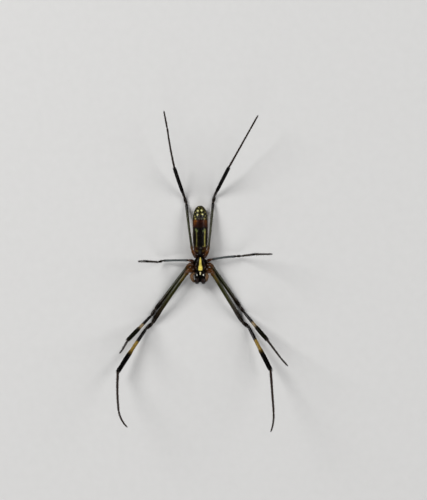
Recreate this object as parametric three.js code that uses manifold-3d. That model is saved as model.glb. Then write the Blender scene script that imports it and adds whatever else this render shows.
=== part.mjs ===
// A female golden silk orb weaver at life size, lying on its back: belly up, head towards -Y, tail towards +Y,
// legs I and II held forward in pairs, legs III short and out to the sides, legs IV back along the tail.
// Millimetres, +Z up, the floor at Z 0. The origin is under the middle of the whole animal's outline.

import * as THREE from "three";
import { mergeVertices } from "three/addons/utils/BufferGeometryUtils.js";
import Module from "manifold-3d";

const wasm = await Module();
wasm.setup();

// Driving dimensions
// X is across the animal, Y is measured from the waist and grows towards the tail, Z is height over the floor.
const GAP = 0.3;
const WELD = 1e-4;
// How far the edge at the end of a limb is rounded, and how far in it the rings turn to meet the end face
const EDGE = 0.22;
const TURNING = 1.6;
const ROUNDED = 0.8;
const TOE_ROUNDED = 0.4;
// Forms with more sides than this have a ring between each two stations
const FEW_SIDES = 12;
const FLOOR_BLOCK = 300;

// Abdomen, as stations of [Y, half width, depth of the back below the level, depth of the belly above it]
const ABDOMEN_LEVEL = 2.38;
const ABDOMEN_SIDES = 18;
const ABDOMEN_STATIONS = [
  [0.1, 0.8, 0.85, 0.8],
  [0.45, 1.25, 1.3, 1.12],
  [1.0, 1.6, 1.75, 1.48],
  [1.9, 1.98, 2.1, 1.86],
  [3.4, 2.2, 2.34, 2.12],
  [5.1, 2.34, 2.43, 2.22],
  [8.2, 2.36, 2.44, 2.24],
  [11.3, 2.38, 2.32, 2.2],
  [13, 2.22, 2.08, 1.95],
  [14.6, 1.75, 1.64, 1.45],
  [15.5, 1.1, 1.0, 0.85],
  [15.95, 0.42, 0.42, 0.34],
];
const EPIGYNE = { y: 2.45, length: 0.62, width: 0.7, height: 0.4, rise: 1.72 };

// Carapace, with stations as for the abdomen. The level is its rim, where the legs join.
const CARAPACE_LEVEL = 2.25;
const CARAPACE_SIDES = 18;
const CARAPACE_STATIONS = [
  [-0.2, 0.9, 0.7, 0.1],
  [-0.6, 1.3, 0.92, 0.12],
  [-1.0, 1.62, 1.1, 0.14],
  [-2.0, 2.3, 1.5, 0.16],
  [-3.3, 2.62, 1.72, 0.16],
  [-4.6, 2.4, 1.84, 0.16],
  [-5.6, 1.95, 2.05, 0.16],
  [-6.5, 1.74, 2.26, 0.16],
  [-7.2, 1.66, 2.3, 0.16],
  [-7.9, 1.42, 2.0, 0.14],
  [-8.25, 0.9, 1.45, 0.1],
];
const EYE_RADIUS = 0.17;
// Each pair of eyes: half the distance between the two, Y and height
const EYE_PAIRS = [
  [0.27, -7.97, 0.62],
  [0.3, -7.62, 0.22],
  [0.98, -7.78, 0.78],
  [1.12, -7.42, 0.58],
];

// Sternum and mouth parts
const STERNUM_LEVEL = 3.05;
const STERNUM_STATIONS = [
  [-0.5, 0.3, 0.2, 0.22],
  [-1.3, 1.0, 0.34, 0.42],
  [-2.6, 1.62, 0.36, 0.5],
  [-3.7, 1.85, 0.36, 0.5],
  [-4.3, 1.6, 0.34, 0.44],
  [-4.65, 1.05, 0.22, 0.24],
];
const LABIUM_STATIONS = [
  [-4.95, 0.34, 0.22, 0.22],
  [-5.3, 0.42, 0.32, 0.4],
  [-5.8, 0.36, 0.32, 0.42],
  [-6.1, 0.2, 0.22, 0.24],
];
const ENDITE_X = 1.24;
const ENDITE_STATIONS = [
  [-4.95, 0.28, 0.26, 0.28],
  [-5.35, 0.42, 0.36, 0.5],
  [-5.95, 0.46, 0.36, 0.56],
  [-6.3, 0.42, 0.34, 0.44],
  [-6.5, 0.22, 0.22, 0.24],
];
const MOUTH_SIDES = 12;

// Chelicera, an upright oval jaw, as stations of [height, half width, half depth, Y of the middle]
const CHELICERA_X = 0.97;
const CHELICERA_SPLAY = 0.06;
const CHELICERA_STATIONS = [
  [1.25, 0.5, 0.6, -7.55],
  [1.7, 0.72, 0.92, -7.65],
  [2.6, 0.79, 1.06, -7.85],
  [3.5, 0.74, 1.0, -7.9],
  [4.1, 0.55, 0.76, -7.86],
  [4.4, 0.26, 0.4, -7.8],
];
// Fang, folded back from its root under the jaw's end
const FANG = { root: [0, -8.15, 4.25], radii: [0.27, 0.216, 0.108], fold: [0.3, 0.8, 0.12], arch: 0.3 };

// Palp: the places that its middle line passes, for the left side
const PALP_LINE = [
  [-2.38, -5.95, 2.8],
  [-2.56, -6.2, 2.8],
  [-2.7, -6.85, 2.85],
  [-2.58, -7.6, 3.05],
  [-2.18, -8.4, 3.45],
];
const PALP_RIGHT_SPREAD = 0.99;
const PALP_RADII = [0.28, 0.4, 0.45, 0.36, 0.25];

const PEDICEL = { radius: 0.36, height: 1.85, from: -0.95, to: 0.95 };

// Spinnerets, on a low mound under the tail
const SPINNERET_MOUND = { y: 12.3, radius: 1.02, height: 0.55, top: 4.75 };
const SPINNERET = { sunk: 0.3, tip: 0.35, taper: 0.6, inward: 0.18 };
// Each pair: half the distance between the two, Y, length, radius at the root, lean towards the tail
const SPINNERET_PAIRS = [
  [0.46, 11.8, 0.72, 0.33, 0.16],
  [0.42, 12.78, 0.6, 0.3, 0.3],
  [0.26, 12.3, 0.42, 0.25, 0.1],
];

// Legs. Each leg's joints run from the body to the toe, in the order of its segments' ends.
// A bow is how far a segment's middle stands off its chord.
const SEGMENTS = ["coxa", "femur", "patella", "tibia", "metatarsus", "tarsus"];
const LEG_SIDES = 8;
const LEGS = {
  leg_1_left: {
    build: "front",
    joints: [
      [-1.7, -4.05, 3.02],
      [-3.86, -4.8, 3.25],
      [-15.25, -21.35, 0.5],
      [-17.2, -23.15, 0.64],
      [-26.08, -36.72, 4.6],
      [-25.72, -48.9, 17.8],
      [-23.05, -53.95, 19.8],
    ],
    bows: {
      femur: [-0.2, 0.1, 0.85],
      tibia: [-0.08, 0.04, 0],
      metatarsus: [-0.28, 0, -0.6],
      tarsus: [-0.4, -0.2, 0.3],
    },
  },
  leg_1_right: {
    build: "front",
    joints: [
      [1.7, -4.05, 3.02],
      [3.66, -5.05, 3.15],
      [13.45, -20.95, 0.5],
      [15.45, -22.65, 0.64],
      [22.3, -36.1, 5.6],
      [23.22, -49.6, 18],
      [22.35, -55.4, 19.9],
    ],
    bows: { femur: [0, 0, 0.95], metatarsus: [0.02, 0, -0.6], tarsus: [0.28, 0, 0.3] },
  },
  leg_2_left: {
    build: "second",
    joints: [
      [-1.95, -2.72, 2.95],
      [-3.48, -2.93, 2.32],
      [-14.25, -17, 0.48],
      [-15.58, -18.95, 0.8],
      [-22.84, -26.56, 8],
      [-24.52, -29.55, 18.6],
      [-25.3, -30.6, 22],
    ],
    bows: { metatarsus: [-0.2, -0.3, 0] },
  },
  leg_2_right: {
    build: "second",
    joints: [
      [1.95, -2.72, 2.95],
      [3.38, -2.95, 2.42],
      [12.72, -16.2, 0.48],
      [13.92, -17.85, 0.8],
      [21.13, -26.46, 7],
      [25.36, -32.1, 16.3],
      [27.57, -34.65, 18.2],
    ],
    bows: { femur: [0, 0, -0.2], tibia: [-0.03, -0.03, 0], metatarsus: [0, 0, -0.3] },
  },
  leg_3_left: {
    build: "third",
    joints: [
      [-1.85, -1.68, 2.98],
      [-3.7, -1.38, 2.8],
      [-11.8, -1.5, 1.5],
      [-13.3, -1.9, 2],
      [-17.55, -1.65, 6.9],
      [-19.45, -1.7, 16.6],
    ],
    bows: { femur: [0, 0.06, 0.25] },
  },
  leg_3_right: {
    build: "third",
    joints: [
      [1.85, -1.72, 2.98],
      [3.6, -1.1, 2.8],
      [11.5, -0.1, 1.5],
      [13, 0, 2],
      [17.45, 0.55, 6.9],
      [22.75, 0.6, 15.6],
    ],
    bows: { femur: [0, 0.15, 0.25] },
  },
  leg_4_left: {
    build: "rear",
    joints: [
      [-1.25, -0.65, 3.12],
      [-2.54, 1.95, 3.95],
      [-4.45, 16.7, 0.4],
      [-5.02, 18.7, 0.6],
      [-8.2, 28, 6.2],
      [-10.45, 40.5, 10.8],
      [-11.45, 45.75, 11.9],
    ],
    bows: { femur: [-0.1, 0, 0.5], tibia: [-0.06, -0.02, 0], metatarsus: [-0.12, 0, -0.2] },
  },
  leg_4_right: {
    build: "rear",
    joints: [
      [1.25, -0.65, 3.12],
      [2.54, 1.95, 3.95],
      [4.1, 17, 0.4],
      [4.55, 19.1, 0.6],
      [9.1, 28.1, 6],
      [15.86, 40.16, 10.6],
      [18.25, 44.4, 11.6],
    ],
    bows: { femur: [0.05, 0, 0.5], metatarsus: [0, 0, -0.2] },
  },
};

// Radii of each segment from its near to its far end, evenly spaced, for each build of leg
const RADII = {
  front: {
    coxa: [0.48, 0.7, 0.64],
    femur: [0.58, 0.66, 0.65, 0.64, 0.6],
    patella: [0.52, 0.58, 0.5],
    tibia: [0.45, 0.5, 0.52, 0.54, 0.52],
    metatarsus: [0.38, 0.35, 0.32, 0.3],
    tarsus: [0.28, 0.26, 0.25],
  },
  second: {
    coxa: [0.44, 0.57, 0.56],
    femur: [0.52, 0.6, 0.6, 0.58, 0.56],
    patella: [0.5, 0.55, 0.46],
    tibia: [0.4, 0.46, 0.49, 0.5, 0.48],
    metatarsus: [0.35, 0.31, 0.28],
    tarsus: [0.27, 0.26, 0.25],
  },
  third: {
    coxa: [0.34, 0.42, 0.4],
    femur: [0.32, 0.33, 0.34, 0.38],
    patella: [0.35, 0.39, 0.33],
    tibia: [0.3, 0.31, 0.34, 0.38],
    metatarsus: [0.37, 0.28, 0.26, 0.25],
  },
  rear: {
    coxa: [0.42, 0.52, 0.42],
    femur: [0.4, 0.37, 0.38, 0.42, 0.46],
    patella: [0.45, 0.52, 0.45],
    tibia: [0.4, 0.44, 0.46, 0.47, 0.45],
    metatarsus: [0.32, 0.28, 0.26, 0.26],
    tarsus: [0.26, 0.25, 0.25],
  },
};
// The rings of each segment, from end to end
const RINGS = { coxa: 4, femur: 7, patella: 3, tibia: 6, metatarsus: 7, tarsus: 5 };

// Bristle brushes: the places along the segment where rows of locks root, how many stand in a row,
// the length of a lock and the radius that its tip reaches
const BRUSHES = {
  front: {
    femur: { rows: [0.83], around: 5, length: 2.2, reach: 0.74 },
    tibia: { rows: [0.5, 0.66, 0.82], around: 5, length: 2.5, reach: 0.78 },
  },
  second: {
    femur: { rows: [0.83], around: 5, length: 2, reach: 0.68 },
    tibia: { rows: [0.5, 0.66, 0.81], around: 5, length: 2.1, reach: 0.68 },
  },
  rear: { tibia: { rows: [0.52, 0.66, 0.79], around: 5, length: 1.9, reach: 0.6 } },
};
const LOCK = { width: 0.58, thickness: 0.5, sunk: 0.25, arch: 0.14, tuck: 0.06, end: 0.12, seed: 23, uneven: 0.12 };

// Colours of the parts
const BLACK = { color: 0x14110c, roughness: 0.5 };
const OLIVE = { color: 0x2c2d18, roughness: 0.45 };
const RUST = { color: 0x4a2812, roughness: 0.45 };
const GREY_BLUE = { color: 0x5c6062, roughness: 0.5 };
const DARK_BROWN = { color: 0x241a13, roughness: 0.5 };
const SILVER = { color: 0x8f8a7c, roughness: 0.6 };
const TAIL = { color: 0x332a12, roughness: 0.5 };
const YELLOW = { color: 0xb09a3c, roughness: 0.5 };

const spider = new THREE.Group();

// Adds a finished solid to the animal as a named mesh.
function addPart(name, solid, finish) {
  const mesh = solid.getMesh();
  const geometry = new THREE.BufferGeometry();
  geometry.setAttribute("position", new THREE.BufferAttribute(mesh.vertProperties, 3));
  geometry.setIndex(new THREE.BufferAttribute(mesh.triVerts, 1));
  geometry.computeVertexNormals();
  const part = new THREE.Mesh(geometry, new THREE.MeshStandardMaterial(finish));
  part.name = name;
  spider.add(part);
}

// A closed geometry as a solid for cutting and joining.
function solidOf(geometry) {
  return new wasm.Manifold(
    new wasm.Mesh({
      numProp: 3,
      vertProperties: geometry.getAttribute("position").array,
      triVerts: new Uint32Array(geometry.index.array),
    }),
  );
}

// A closed skin: a lathed profile of [radius, along] pairs, with every vertex then put in its place.
function skinned(profile, sides, place) {
  const lathe = new THREE.LatheGeometry(
    profile.map(([radius, along]) => new THREE.Vector2(radius, along)),
    sides,
  );
  lathe.deleteAttribute("normal");
  lathe.deleteAttribute("uv");
  const geometry = mergeVertices(lathe, WELD);
  const position = geometry.getAttribute("position");
  for (let i = 0; i < position.count; i++) {
    const spot = place(position.getX(i), -position.getZ(i), position.getY(i));
    position.setXYZ(i, spot.x, spot.y, spot.z);
  }
  if (signedVolume(geometry) < 0) geometry.index.array.reverse();
  return solidOf(geometry);
}

// The volume that a closed geometry holds, negative where its faces point inwards.
function signedVolume(geometry) {
  const position = geometry.getAttribute("position");
  const corner = (i) => new THREE.Vector3().fromBufferAttribute(position, geometry.index.getX(i));
  let total = 0;
  for (let i = 0; i < geometry.index.count; i += 3) {
    total += corner(i).dot(corner(i + 1).cross(corner(i + 2))) / 6;
  }
  return total;
}

// A smooth run through rows of values, each at its own place.
function runThrough(places, rows) {
  const run = new THREE.CubicInterpolant(places, rows.flat(), rows[0].length);
  return (place) => [...run.evaluate(place)];
}

// The places of the stations with one more between each two.
function halved(places) {
  return places.flatMap((place, i) => (i === 0 ? [place] : [(places[i - 1] + place) / 2, place]));
}

// A profile of radius 1 with rings at the given places, closed flat at both ends.
function closedProfile(places) {
  return [[0, places[0]], ...places.map((place) => [1, place]), [0, places.at(-1)]];
}

// A body form lying along Y, from stations of [Y, half width, depth below the level, height above it].
function bodyForm(stations, { x = 0, level, sides }) {
  const ordered = [...stations].sort((a, b) => a[0] - b[0]);
  const places = ordered.map((station) => station[0]);
  const sizeAt = runThrough(places, ordered.map((station) => station.slice(1)));
  return skinned(closedProfile(sides > FEW_SIDES ? halved(places) : places), sides, (across, up, along) => {
    const [halfWidth, below, above] = sizeAt(along);
    const tall = up > 0 ? above : below;
    return new THREE.Vector3(x - across * halfWidth, along, level + up * tall);
  });
}

// An oval dome or cone standing on a foot point and pointing along a direction.
function peg(foot, direction, profile, sides) {
  const along = direction.clone().normalize();
  const turn = new THREE.Quaternion().setFromUnitVectors(new THREE.Vector3(0, 0, 1), along);
  return skinned(profile, sides, (across, up, rise) =>
    new THREE.Vector3(-across, up, rise).applyQuaternion(turn).add(foot),
  );
}

// A ball of few faces.
function ball(centre, radius, stretch = new THREE.Vector3(1, 1, 1)) {
  const latitudes = [-50, 0, 50].map(THREE.MathUtils.degToRad);
  const profile = [
    [0, -radius],
    ...latitudes.map((angle) => [radius * Math.cos(angle), radius * Math.sin(angle)]),
    [0, radius],
  ];
  return skinned(profile, 8, (across, up, rise) =>
    new THREE.Vector3(-across, up, rise).multiply(stretch).add(centre),
  );
}

// A round limb along a curve. Its two end faces lie square to the given normals, so that they meet
// the faces of its neighbours, and its edges are rounded off there.
function limb(curve, radii, { rings, sides, normals = [], round = [ROUNDED, ROUNDED], grow = 0 }) {
  const length = curve.getLength();
  const edge = EDGE / length;
  const reach = TURNING / length;
  const middle = Array.from({ length: rings - 2 }, (_, i) => (i + 1) / (rings - 1));
  const places = [0, edge, ...middle, 1 - edge, 1];
  const radiusAt = runThrough(radii.map((_, i) => i / (radii.length - 1)), radii.map((radius) => [radius]));
  const chord = curve.getPoint(1).sub(curve.getPoint(0)).normalize();
  const reference = Math.abs(chord.z) > 0.8 ? new THREE.Vector3(1, 0, 0) : new THREE.Vector3(0, 0, 1);
  return skinned(closedProfile(places), sides, (across, up, along) => {
    const facing = curve.getTangent(along);
    const nearStart = Math.max(0, 1 - along / reach);
    const nearEnd = Math.max(0, 1 - (1 - along) / reach);
    if (normals[0]) facing.lerp(normals[0], nearStart);
    if (normals[1]) facing.lerp(normals[1], nearEnd);
    facing.normalize();
    const side = new THREE.Vector3().crossVectors(facing, reference).normalize();
    const top = new THREE.Vector3().crossVectors(side, facing);
    const rounding = along === 0 ? round[0] : along === 1 ? round[1] : 1;
    const radius = radiusAt(along)[0] * rounding + grow;
    const spot = curve.getPoint(along).addScaledVector(side, across * radius);
    return spot.addScaledVector(top, up * radius);
  });
}

// The curve of each of a leg's segments, with the normals of its end faces.
function legSegments({ joints, bows }) {
  const points = joints.map((joint) => new THREE.Vector3(...joint));
  const chords = points.slice(1).map((point, i) => point.clone().sub(points[i]).normalize());
  const normals = points.map((_, i) => {
    const before = chords[Math.max(0, i - 1)];
    const after = chords[Math.min(chords.length - 1, i)];
    return before.clone().add(after).normalize();
  });
  return chords.map((_, i) => {
    const start = points[i].clone().addScaledVector(normals[i], i === 0 ? 0 : GAP / 2);
    const last = i === chords.length - 1;
    const end = points[i + 1].clone().addScaledVector(normals[i + 1], last ? 0 : -GAP / 2);
    const bow = new THREE.Vector3(...(bows[SEGMENTS[i]] ?? [0, 0, 0]));
    const bend = start.clone().add(end).multiplyScalar(0.5).addScaledVector(bow, 2);
    return {
      name: SEGMENTS[i],
      curve: new THREE.QuadraticBezierCurve3(start, bend, end),
      normals: [normals[i], normals[i + 1]],
      last,
    };
  });
}

// The block of space over the floor.
const overFloor = solidOf(
  (() => {
    const block = new THREE.BoxGeometry(FLOOR_BLOCK, FLOOR_BLOCK, FLOOR_BLOCK);
    block.deleteAttribute("normal");
    block.deleteAttribute("uv");
    block.translate(0, 0, FLOOR_BLOCK / 2);
    return mergeVertices(block);
  })(),
);

// Only the largest closed surface of a solid.
function largest(solid) {
  const pieces = solid.decompose();
  return pieces.reduce((best, piece) => (piece.volume() > best.volume() ? piece : best));
}

// Several solids joined into one.
function joined(solids) {
  return largest(solids.reduce((whole, piece) => whole.add(piece)));
}

// A leg: every segment a part of its own. Returns the room that its coxa needs in the body.
function addLeg(legName, leg) {
  const radii = RADII[leg.build];
  const finishes = legFinishes(leg.build);
  let room = null;
  for (const { name, curve, normals, last } of legSegments(leg)) {
    const round = [name === "coxa" ? 1 : ROUNDED, last ? TOE_ROUNDED : ROUNDED];
    const shape = { rings: RINGS[name], sides: LEG_SIDES, normals, round };
    let solid = limb(curve, radii[name], shape);
    const brush = BRUSHES[leg.build]?.[name];
    if (brush) solid = joined([solid, ...brushLocks(curve, brush, radii[name])]);
    if (name === "coxa") room = limb(deepened(curve), radii[name], { ...shape, grow: GAP, round: [1, 1] });
    addPart(`${legName}_${name}`, solid.intersect(overFloor), finishes[name]);
  }
  return room;
}

// The curve with its start drawn back by the gap.
function deepened(curve) {
  const back = curve.v1.clone().sub(curve.v0).setLength(GAP);
  return new THREE.QuadraticBezierCurve3(curve.v0.clone().sub(back), curve.v1, curve.v2);
}

// A run of even random values between 0 and 1, the same each time.
function randomRun(seed) {
  let state = seed;
  return () => {
    state = (state * 16807) % 2147483647;
    return state / 2147483647;
  };
}
const draw = randomRun(LOCK.seed);

// The locks of one brush. Each is flat and tapered, roots well inside the segment, rises to the brush's
// reach and lies along the leg, and the rows overlap like shingles.
function brushLocks(curve, { rows, around, length, reach }, radii) {
  const whole = curve.getLength();
  const radiusAt = runThrough(radii.map((_, i) => i / (radii.length - 1)), radii.map((radius) => [radius]));
  return rows.flatMap((row, rowNumber) =>
    Array.from({ length: around }, (_, i) => {
      const uneven = 1 + LOCK.uneven * (draw() - 0.5);
      const turn = i + 0.5 * (rowNumber % 2) + LOCK.uneven * draw();
      const angle = (turn / around) * 2 * Math.PI;
      const facing = curve.getTangent(row).normalize();
      const side = new THREE.Vector3().crossVectors(facing, new THREE.Vector3(0, 0, 1)).normalize();
      const top = new THREE.Vector3().crossVectors(side, facing);
      const out = side.multiplyScalar(Math.cos(angle)).addScaledVector(top, Math.sin(angle));
      const across = new THREE.Vector3().crossVectors(facing, out);
      const tip = Math.min(row + (length * uneven) / whole, 1 - LOCK.end / whole);
      const root = curve.getPoint(row).addScaledVector(out, radiusAt(row)[0] - LOCK.sunk);
      const end = curve.getPoint(tip).addScaledVector(out, reach * uneven - LOCK.tuck);
      const bend = root.clone().lerp(end, 0.45).addScaledVector(out, LOCK.arch);
      return lock(new THREE.QuadraticBezierCurve3(root, bend, end), across, out);
    }),
  );
}

// One flat, tapered lock along a curve.
function lock(curve, across, out) {
  const profile = [
    [0, 0],
    [0.9, 0],
    [1, 0.5],
    [0.22, 1],
    [0, 1],
  ];
  return skinned(profile, 4, (u, v, along) =>
    curve
      .getPoint(along)
      .addScaledVector(across, (u * LOCK.width) / 2)
      .addScaledVector(out, (v * LOCK.thickness) / 2),
  );
}

// The finish of each segment of a leg.
function legFinishes(build) {
  const upper = { front: OLIVE, second: OLIVE, third: GREY_BLUE, rear: OLIVE }[build];
  return {
    coxa: RUST,
    femur: upper,
    patella: BLACK,
    tibia: BLACK,
    metatarsus: DARK_BROWN,
    tarsus: DARK_BROWN,
  };
}

// Eight eyes in four pairs, each a low dome set in the carapace.
function eyes() {
  return EYE_PAIRS.flatMap(([x, y, z]) => [-x, x].map((side) => ball(new THREE.Vector3(side, y, z), EYE_RADIUS)));
}

// One jaw, an upright oval, for the side -1 or 1.
function jaw(side, grow = 0) {
  const places = CHELICERA_STATIONS.map((station) => station[0]);
  const sizeAt = runThrough(places, CHELICERA_STATIONS.map((station) => station.slice(1)));
  const length = places.at(-1) - places[0];
  return skinned(closedProfile(halved(places)), MOUTH_SIDES, (across, up, along) => {
    const [halfWidth, halfDepth, y] = sizeAt(along);
    const x = side * (CHELICERA_X + (CHELICERA_SPLAY * (along - places[0])) / length);
    const height = along === places[0] ? along - grow : along;
    return new THREE.Vector3(x - across * (halfWidth + grow), y + up * (halfDepth + grow), height);
  });
}

// The fang folded in over the end of a jaw.
function fang(side) {
  const [x, y, z] = FANG.root;
  const root = new THREE.Vector3(side * (CHELICERA_X + x), y, z);
  const [inward, back, up] = FANG.fold;
  const tip = root.clone().add(new THREE.Vector3(-side * inward, back, up));
  const bend = root.clone().lerp(tip, 0.5).add(new THREE.Vector3(0, 0, FANG.arch));
  return limb(new THREE.QuadraticBezierCurve3(root, bend, tip), FANG.radii, { rings: 5, sides: 6 });
}

// The palp of one side.
function palp(side) {
  const spread = side < 0 ? 1 : PALP_RIGHT_SPREAD;
  const line = PALP_LINE.map(([x, y, z]) => new THREE.Vector3(-side * x * spread, y, z));
  return limb(new THREE.CatmullRomCurve3(line), PALP_RADII, { rings: 12, sides: 8, round: [0.8, 0.5] });
}

// The waist, a short round stalk that is let into both halves of the body.
function pedicel(grow = 0) {
  const { height, from, to, radius } = PEDICEL;
  const start = new THREE.Vector3(0, from - grow, height);
  const end = new THREE.Vector3(0, to + grow, height);
  return limb(new THREE.LineCurve3(start, end), [radius, radius * 0.9, radius], { rings: 4, sides: 10, grow });
}

// The mound of the spinnerets, for the side that grows from the tail.
function spinneretMound(grow = 0) {
  const { y, radius, height, top } = SPINNERET_MOUND;
  const profile = [
    [0, -height - grow],
    [radius + grow, -height - grow],
    [radius + grow, -height / 2],
    [radius * 0.8 + grow, grow],
    [0, grow],
  ];
  return peg(new THREE.Vector3(0, y, top), new THREE.Vector3(0, 0, 1), profile, 16);
}

// Six short cones that lean together and towards the tail.
function spinneretCones() {
  return SPINNERET_PAIRS.flatMap(([x, y, length, radius, lean]) =>
    [-1, 1].map((side) => {
      const foot = new THREE.Vector3(side * x, y, SPINNERET_MOUND.top - SPINNERET.sunk);
      const direction = new THREE.Vector3(-side * SPINNERET.inward, lean, 1);
      const profile = [
        [0, 0],
        [radius, 0],
        [radius * 0.95, length * 0.6],
        [radius * SPINNERET.taper, length + SPINNERET.sunk],
        [0, length + SPINNERET.tip],
      ];
      return peg(foot, direction, profile, 8);
    }),
  );
}

// The raised plate over the opening between the book lungs.
function epigyne() {
  const { y, length, width, height, rise } = EPIGYNE;
  const centre = new THREE.Vector3(0, y, ABDOMEN_LEVEL + rise);
  return ball(centre, 1, new THREE.Vector3(width / 2, length / 2, height));
}

const rooms = Object.entries(LEGS).map(([name, leg]) => addLeg(name, leg));
const jaws = [-1, 1].map((side) => jaw(side));
const jawRooms = [-1, 1].map((side) => jaw(side, GAP));

const carapaceForm = bodyForm(CARAPACE_STATIONS, { level: CARAPACE_LEVEL, sides: CARAPACE_SIDES });
const carapace = [...rooms, ...jawRooms, pedicel(GAP)].reduce((left, room) => left.subtract(room), carapaceForm);
addPart("carapace", largest(joined([carapace, ...eyes()]).intersect(overFloor)), SILVER);

const sternumForm = bodyForm(STERNUM_STATIONS, { level: STERNUM_LEVEL, sides: 16 });
addPart("sternum", largest(rooms.reduce((left, room) => left.subtract(room), sternumForm)), YELLOW);
addPart("labium", bodyForm(LABIUM_STATIONS, { level: STERNUM_LEVEL, sides: MOUTH_SIDES }), BLACK);
for (const [side, word] of [[-1, "left"], [1, "right"]]) {
  const form = { x: side * ENDITE_X, level: STERNUM_LEVEL, sides: MOUTH_SIDES };
  addPart(`endite_${word}`, bodyForm(ENDITE_STATIONS, form), BLACK);
  addPart(`chelicera_${word}`, joined([jaws[side < 0 ? 0 : 1], fang(side)]), BLACK);
  addPart(`palp_${word}`, palp(side), DARK_BROWN);
}
addPart("pedicel", pedicel(), DARK_BROWN);

const abdomenForm = bodyForm(ABDOMEN_STATIONS, { level: ABDOMEN_LEVEL, sides: ABDOMEN_SIDES });
const abdomen = [pedicel(GAP), spinneretMound(GAP)].reduce((left, room) => left.subtract(room), abdomenForm);
addPart("abdomen", largest(joined([abdomen, epigyne()]).intersect(overFloor)), TAIL);
addPart("spinnerets", joined([spinneretMound(), ...spinneretCones()]), DARK_BROWN);

// The origin goes to the floor under the middle of the outline.
const outline = new THREE.Box3().setFromObject(spider);
const middle = outline.getCenter(new THREE.Vector3());
spider.position.set(-middle.x, -middle.y, 0);

export default spider;
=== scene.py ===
# The looks of a female golden silk orb weaver that lies belly up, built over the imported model.
# Sizes are in millimetres in this script's tables and turned into metres as the meshes are made.

import math

import bpy
import numpy as np
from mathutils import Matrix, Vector


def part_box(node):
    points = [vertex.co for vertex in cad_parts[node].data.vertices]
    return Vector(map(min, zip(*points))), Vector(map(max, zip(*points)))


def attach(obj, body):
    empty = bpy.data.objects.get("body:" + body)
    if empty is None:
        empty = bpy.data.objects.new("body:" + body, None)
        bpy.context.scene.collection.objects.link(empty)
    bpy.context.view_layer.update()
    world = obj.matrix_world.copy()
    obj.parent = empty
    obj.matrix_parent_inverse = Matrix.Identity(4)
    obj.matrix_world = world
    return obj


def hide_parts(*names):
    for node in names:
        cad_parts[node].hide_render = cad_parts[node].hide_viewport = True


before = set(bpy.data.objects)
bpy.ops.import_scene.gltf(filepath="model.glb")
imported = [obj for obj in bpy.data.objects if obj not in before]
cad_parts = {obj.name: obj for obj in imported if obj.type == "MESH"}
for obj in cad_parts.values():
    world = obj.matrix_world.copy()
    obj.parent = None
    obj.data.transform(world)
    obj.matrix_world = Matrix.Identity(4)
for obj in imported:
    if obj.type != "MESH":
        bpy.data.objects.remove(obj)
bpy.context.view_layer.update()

MM = 0.001
RNG = np.random.default_rng(11)

# The model's own shift in plan, read back from the abdomen, which reaches 15.95 mm behind the waist.
ABDOMEN_LOW, ABDOMEN_HIGH = (np.array(corner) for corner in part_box("abdomen"))
TAIL_Y = 15.95
SHIFT = np.array([(ABDOMEN_LOW[0] + ABDOMEN_HIGH[0]) / 2, ABDOMEN_HIGH[1] - TAIL_Y * MM, 0.0])

# Photo frame: its size, the pixel of the waist's middle and the scale
PHOTO_WIDTH = 427
PHOTO_HEIGHT = 500
WAIST_PIXEL = (200.2, 256.0)
MM_PER_PIXEL = 0.3177
CAMERA_DISTANCE = 2.5
SENSOR = 36.0
BODY_HEIGHT = 3.0
FLOOR_CLEAR = 0.004
SIDES = ((-1, "left"), (1, "right"))


# Numbers and curves


def linear(red, green, blue):
    """A colour given as a screen shows it, as light."""
    shown = np.array([red, green, blue], float)
    return np.where(shown <= 0.04045, shown / 12.92, ((shown + 0.055) / 1.055) ** 2.4)


def smoothstep(low, high, value):
    """0 up to low and 1 from high on, with a soft run between them."""
    t = np.clip((value - low) / (high - low), 0.0, 1.0)
    return t * t * (3 - 2 * t)


def band(low, high, edge, value):
    """1 between low and high, fading to 0 over edge on both sides."""
    return smoothstep(low - edge, low + edge, value) * (1 - smoothstep(high - edge, high + edge, value))


def spot(x, y, centre, radius, edge=0.35):
    """1 inside a round or oval spot, fading out over its edge."""
    radii = np.broadcast_to(radius, 2)
    reach = np.sqrt(((x - centre[0]) / radii[0]) ** 2 + ((y - centre[1]) / radii[1]) ** 2)
    return 1 - smoothstep(1 - edge, 1 + edge, reach)


def mix(base, colour, amount):
    """A colour, or one for each amount, between two colours."""
    return base + (np.asarray(colour) - base) * np.asarray(amount)[..., None]


def through(places, rows, at):
    """A smooth run through rows of values, each at its own place."""
    places = np.asarray(places, float)
    rows = np.asarray(rows, float).reshape(len(places), -1)
    at = np.clip(np.asarray(at, float), places[0], places[-1])
    slopes = np.gradient(rows, places, axis=0)
    i = np.clip(np.searchsorted(places, at) - 1, 0, len(places) - 2)
    span = places[i + 1] - places[i]
    t = ((at - places[i]) / span)[:, None]
    span = span[:, None]
    start = (2 * t**3 - 3 * t**2 + 1) * rows[i] + (t**3 - 2 * t**2 + t) * span * slopes[i]
    return start + (3 * t**2 - 2 * t**3) * rows[i + 1] + (t**3 - t**2) * span * slopes[i + 1]


def evenly(values, at):
    """A smooth run through values that stand evenly between 0 and 1."""
    return through(np.linspace(0, 1, len(values)), values, at)


def unit(vectors):
    return vectors / np.maximum(np.linalg.norm(vectors, axis=-1, keepdims=True), 1e-12)


GRAIN_WAVES = 7


def grain(points, seed):
    """Smooth unevenness between about -1 and 1, made of a few waves across the points."""
    waves = np.random.default_rng(seed)
    total = np.zeros(points.shape[:-1])
    for _ in range(GRAIN_WAVES):
        wave = waves.normal(size=3)
        total += np.sin(points @ wave + waves.uniform(0, 6.28))
    return total / 4


# Meshes


def place(points):
    """Millimetres from the waist, turned into the frame's metres."""
    return np.asarray(points, float) * MM + SHIFT


def add_object(name, data):
    made = bpy.data.objects.new(name, data)
    bpy.context.scene.collection.objects.link(made)
    return made


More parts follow.
